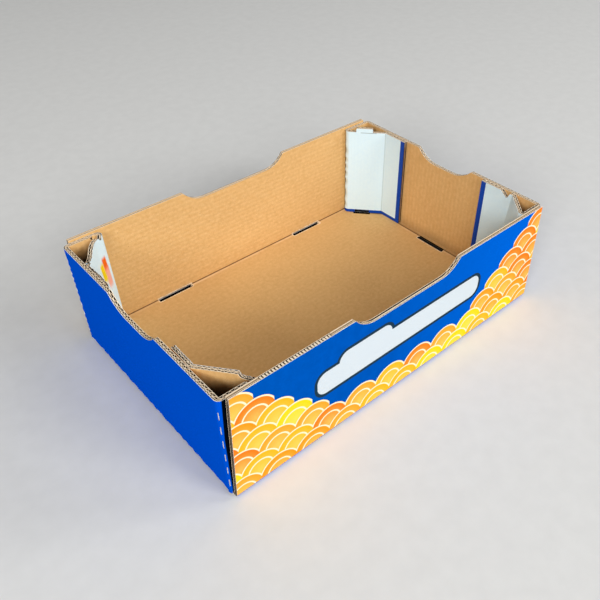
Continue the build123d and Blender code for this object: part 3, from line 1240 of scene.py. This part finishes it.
def make_ply_tree():
    tree = Tree("ply", {
        "Pitch": "Float", "Height": "Float", "Middle": "Float", "Reach": "Float",
        "Rows": "Int", "Ragged": "Float", "Seed": "Float", "Paper": "Material",
    })
    get = tree.inputs
    edge = get["Geometry"]
    columns = tree.number("GeometryNodeAttributeDomainSize", {"Geometry": edge}, component="MESH")
    grid = tree.node("GeometryNodeMeshGrid", {"Vertices X": columns, "Vertices Y": get["Rows"]})[0]
    here = tree.node("GeometryNodeInputPosition")[0]
    along, down, _ = tree.split(here)
    column = tree.sum("ROUND", (along + 0.5) * (columns - 1.0))
    start, across, inwards = [
        sampled(tree, edge, value, "FLOAT_VECTOR", column) for value in (here, "across", "inwards")
    ]
    wave, wave_in, torn = [
        sampled(tree, edge, name, "FLOAT", column) for name in ("wave", "wave_in", "torn")
    ]
    keys = {"W": tree.sum("MULTIPLY_ADD", wave, 400.0, get["Seed"]), "Scale": 1.0}
    bite = tree.number("ShaderNodeTexNoise", keys, noise_dimensions="1D") * torn * get["Ragged"]
    depth = tree.sum("MULTIPLY_ADD", down + 0.5, get["Reach"] - bite, bite)
    phase = tree.sum("MULTIPLY_ADD", depth, wave_in, wave) / get["Pitch"]
    swing = tree.sum("SINE", phase * math.tau)
    push = tree.sum("MULTIPLY_ADD", swing, get["Height"] * 0.5, get["Middle"])
    place = tree.vector("ADD", start, tree.vector("SCALE", inwards, Scale=depth))
    place = tree.vector("ADD", place, tree.vector("SCALE", across, Scale=push))
    keys = {"Geometry": grid, "Name": "depth", "Value": depth}
    kind = {"data_type": "FLOAT", "domain": "POINT"}
    marked = tree.node("GeometryNodeStoreNamedAttribute", keys, **kind)[0]
    keys = {"Geometry": marked, "Position": place}
    return tree.finish(tree.node("GeometryNodeSetPosition", keys)[0])


ply_tree = make_ply_tree()
print("ply tree nodes:", len(ply_tree.nodes))

# %% [markdown]
# ## Growing the plies
# Every edge becomes a mesh of points that carry their directions, and the tree grows the coarse
# waves, the fine waves and the flat paper between them from it. The raw ends of the long walls get
# a darker, greyer paper.

# %% Growing a piece


def edge_mesh(name, rows, wave_in):
    """An edge as a mesh of single points that carry their directions."""
    mesh = bpy.data.meshes.new(name)
    mesh.from_pydata([place * MM for place, *_ in rows], [], [])
    for label, column in (("across", 1), ("inwards", 2)):
        layer = mesh.attributes.new(label, "FLOAT_VECTOR", "POINT")
        layer.data.foreach_set("vector", [part for row in rows for part in row[column]])
    places = {"wave": [row[3] * MM for row in rows], "wave_in": [wave_in] * len(rows)}
    places["torn"] = [float(is_torn(row[0])) for row in rows]
    for label, values in places.items():
        mesh.attributes.new(label, "FLOAT", "POINT").data.foreach_set("value", values)
    return mesh


def grown(name, mesh, tree, values):
    """A piece that a tree grows from points. Inputs are set by their sockets' identifiers."""
    piece = placed(name, mesh)
    growth = piece.modifiers.new("growth", "NODES")
    growth.node_group = tree
    sockets = [item for item in tree.interface.items_tree if item.in_out == "INPUT"]
    keys = {socket.name: socket.identifier for socket in sockets}
    for label, value in values.items():
        growth[keys[label]] = value
    return bake(piece)


def grow_ply(name, rows, wave_in, row_count, values, rim=kraft_rim):
    ply = grown(name, edge_mesh(name, rows, wave_in), ply_tree, dict(values, Rows=row_count))
    ply.data.materials.append(rim)
    return give_thickness(ply, wave_paper if values["Height"] else middle_paper, offset=0.0)


def joined(name, parts):
    with bpy.context.temp_override(active_object=parts[0], selected_editable_objects=parts):
        bpy.ops.object.join()
    parts[0].name = parts[0].data.name = name
    return parts[0]


# %% [markdown]
# ## The three inner papers
# Upright waves are straight going down, so four rows of points are enough there. Waves
# that lie along the edge need many rows to come out round.

# %% Inner papers
few_rows, many_rows = 4, 24
going_in, lying_along = 0.0, -1.0
tear_bite = 2.2
ply_sizes = {
    "coarse_waves": (coarse_pitch, coarse_height - wave_paper, coarse_middle),
    "fine_waves": (fine_pitch, fine_height - wave_paper, fine_middle),
    "middle_liner": (1.0, 0.0, middle_place),
}
plies = []
for seed, (name, (pitch, height, middle)) in enumerate(ply_sizes.items()):
    values = {"Pitch": pitch, "Height": height, "Middle": middle, "Reach": reach}
    values = {label: length * MM for label, length in values.items()}
    values.update({"Ragged": tear_bite * MM, "Seed": seed * 7.3, "Paper": fluting})
    raw_values = dict(values, Paper=raw_fluting)
    long_rows = many_rows if height else few_rows
    parts = [grow_ply(name, rows, going_in, few_rows, values) for rows in short_edges.values()]
    parts += [grow_ply(name, rows, going_in, few_rows, raw_values, raw_rim) for rows in raw_edges]
    parts += [grow_ply(name, rows, lying_along, long_rows, values) for rows in long_edges.values()]
    plies.append(joined(name, parts))
    print(name, len(plies[-1].data.polygons), "faces")

# %% [markdown]
# ## Crushed teeth
# On one side of the front scoop the blade has crushed the edge and pressed the waves up
# into pale teeth. One small block with a rough skin is set on every place along the edge,
# each a little longer or shorter than the next.

# %% Teeth


def make_teeth_tree():
    sockets = {"Size": "Vector", "Roughness": "Float", "Seed": "Int", "Paper": "Material"}
    tree = Tree("teeth", sockets)
    get = tree.inputs
    sides = {"Vertices X": 3, "Vertices Y": 4, "Vertices Z": 3}
    block = tree.node("GeometryNodeMeshCube", {"Size": get["Size"], **sides})[0]
    keys = {"Min": (0.8, 0.92, 0.96), "Max": (1.2, 1.0, 1.0), "Seed": get["Seed"]}
    scale = tree.node("FunctionNodeRandomValue", keys, data_type="FLOAT_VECTOR")[0]
    keys = {"Points": get["Geometry"], "Instance": block, "Scale": scale}
    row = tree.node("GeometryNodeInstanceOnPoints", keys)[0]
    real = tree.node("GeometryNodeRealizeInstances", {"Geometry": row})[0]
    rough = tree.node("ShaderNodeTexNoise", {"Scale": 900.0, "Detail": 1.0})[1]
    off = tree.vector("SUBTRACT", rough, (0.5, 0.5, 0.5))
    push = tree.vector("SCALE", off, Scale=get["Roughness"])
    return tree.finish(tree.node("GeometryNodeSetPosition", {"Geometry": real, "Offset": push})[0])


tooth_mesh = bpy.data.meshes.new("crushed_teeth")
tooth_mesh.from_pydata([place * MM for place in teeth], [], [])
tooth_size = tuple(side * MM for side in (tooth_width, tooth_depth, tooth_height))
values = {"Size": tooth_size, "Roughness": 0.9 * MM, "Seed": 5, "Paper": crushed_paper}
crushed_teeth = grown("crushed_teeth", tooth_mesh, make_teeth_tree(), values)
print("teeth:", len(teeth), "with", len(crushed_teeth.data.polygons), "faces")

# %% [markdown]
# ## Ground and surround
# The studio is a pale floor in a dim pale surround. Only the camera, and what mirrors it, sees the
# surround bright, so the backdrop is white without more light on the tray. The ground is painted
# dark under the tray's floor and under the back slots, as painted shade, so that the slots look
# black.

# %% Ground and surround
surround, backdrop = 0.2, 0.85
ground_tone, ground_light = paint(212, 212, 210), paint(216, 216, 214)
ground_painted_shade = paint(16, 14, 12)
ground_size, ground_drop = 8.0, 0.6

world = bpy.data.worlds.new("surround")
world.use_nodes = True
bpy.context.scene.world = world
air = Nodes(world.node_tree)
rays = air.node("ShaderNodeLightPath")
seen = rays["Is Camera Ray"]
for ray in ("Is Glossy Ray", "Is Transmission Ray"):
    seen = air.sum("MAXIMUM", seen, rays[ray])
background = world.node_tree.nodes["Background"].inputs
air.feed(background["Color"], (1.0, 1.0, 1.0, 1.0))
air.feed(background["Strength"], air.range(seen, 0.0, 1.0, surround, backdrop))


def make_ground():
    recipe = Recipe("studio_paper")
    x, y, _ = recipe.spot()
    paper = recipe.layer(ground_tone, ground_light, recipe.noise(40.0, 3.0), 0.3, 0.7)
    under_floor = recipe.within(x, 0.0, wall_face_x - 1.0)
    under_floor = under_floor * recipe.within(y, 0.0, wall_face_y - 1.0)
    at_slots = recipe.within(abs(x) - long_slot_x, 4.0, long_slot_length / 2 + 6.0)
    under_slots = at_slots * recipe.within(y, half_width - 10.0, 10.5)
    # Painted shade on the ground under the tray's floor and under its slots.
    dark = recipe.sum("MAXIMUM", under_floor, under_slots)
    return recipe.finish(recipe.mix(dark, paper, ground_painted_shade), 0.9, gloss=0.0)


bpy.ops.mesh.primitive_plane_add(size=ground_size, location=(0, 0, -ground_drop * MM))
floor = bpy.context.object
floor.name = "studio_floor"
floor.data.materials.append(make_ground())
print("ground:", ground_size, "metres wide")

# %% [markdown]
# ## Lamps
# A ring of low soft lamps stands round the front. Low lamps light the walls more than the
# floor, and leave the hollow corners dark, as in the picture. A weak one overhead keeps
# the floor's colour alive.

# %% Lamps
lamp_distance, lamp_side = 7.0, 2.2
lamp_height = math.radians(28)
lamp_aim = Vector((0, 0, 0.05))
ring = {
    "left": (-60, 252.0), "front_left": (-20, 135.0),
    "front_right": (22, 170.0), "right": (60, 126.0),
}
overhead_place, overhead_power = (0.0, -1.2, lamp_distance), 75.0


def lamp(name, place, power):
    light = bpy.data.lights.new(name, "AREA")
    light.size = lamp_side
    light.energy = power
    stand = placed(name, light)
    stand.location = place
    stand.rotation_euler = (lamp_aim - Vector(place)).to_track_quat("-Z", "Y").to_euler()


out = lamp_distance * math.cos(lamp_height)
for name, (heading, power) in ring.items():
    turn = math.radians(heading)
    place = (out * math.sin(turn), -out * math.cos(turn), lamp_distance * math.sin(lamp_height))
    lamp(name, place, power)
lamp("overhead", overhead_place, overhead_power)
bpy.context.scene.view_settings.view_transform = "Standard"
print("lamps:", len(ring) + 1)

# %% [markdown]
# ## Hand over
# All the papers belong to the one folded sheet, so they move with one body. The solid itself is
# hidden.

# %% Hand over
pieces = liners + [edge_plies, crushed_teeth] + plies
for piece in pieces:
    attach(piece, "root")
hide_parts("tray")
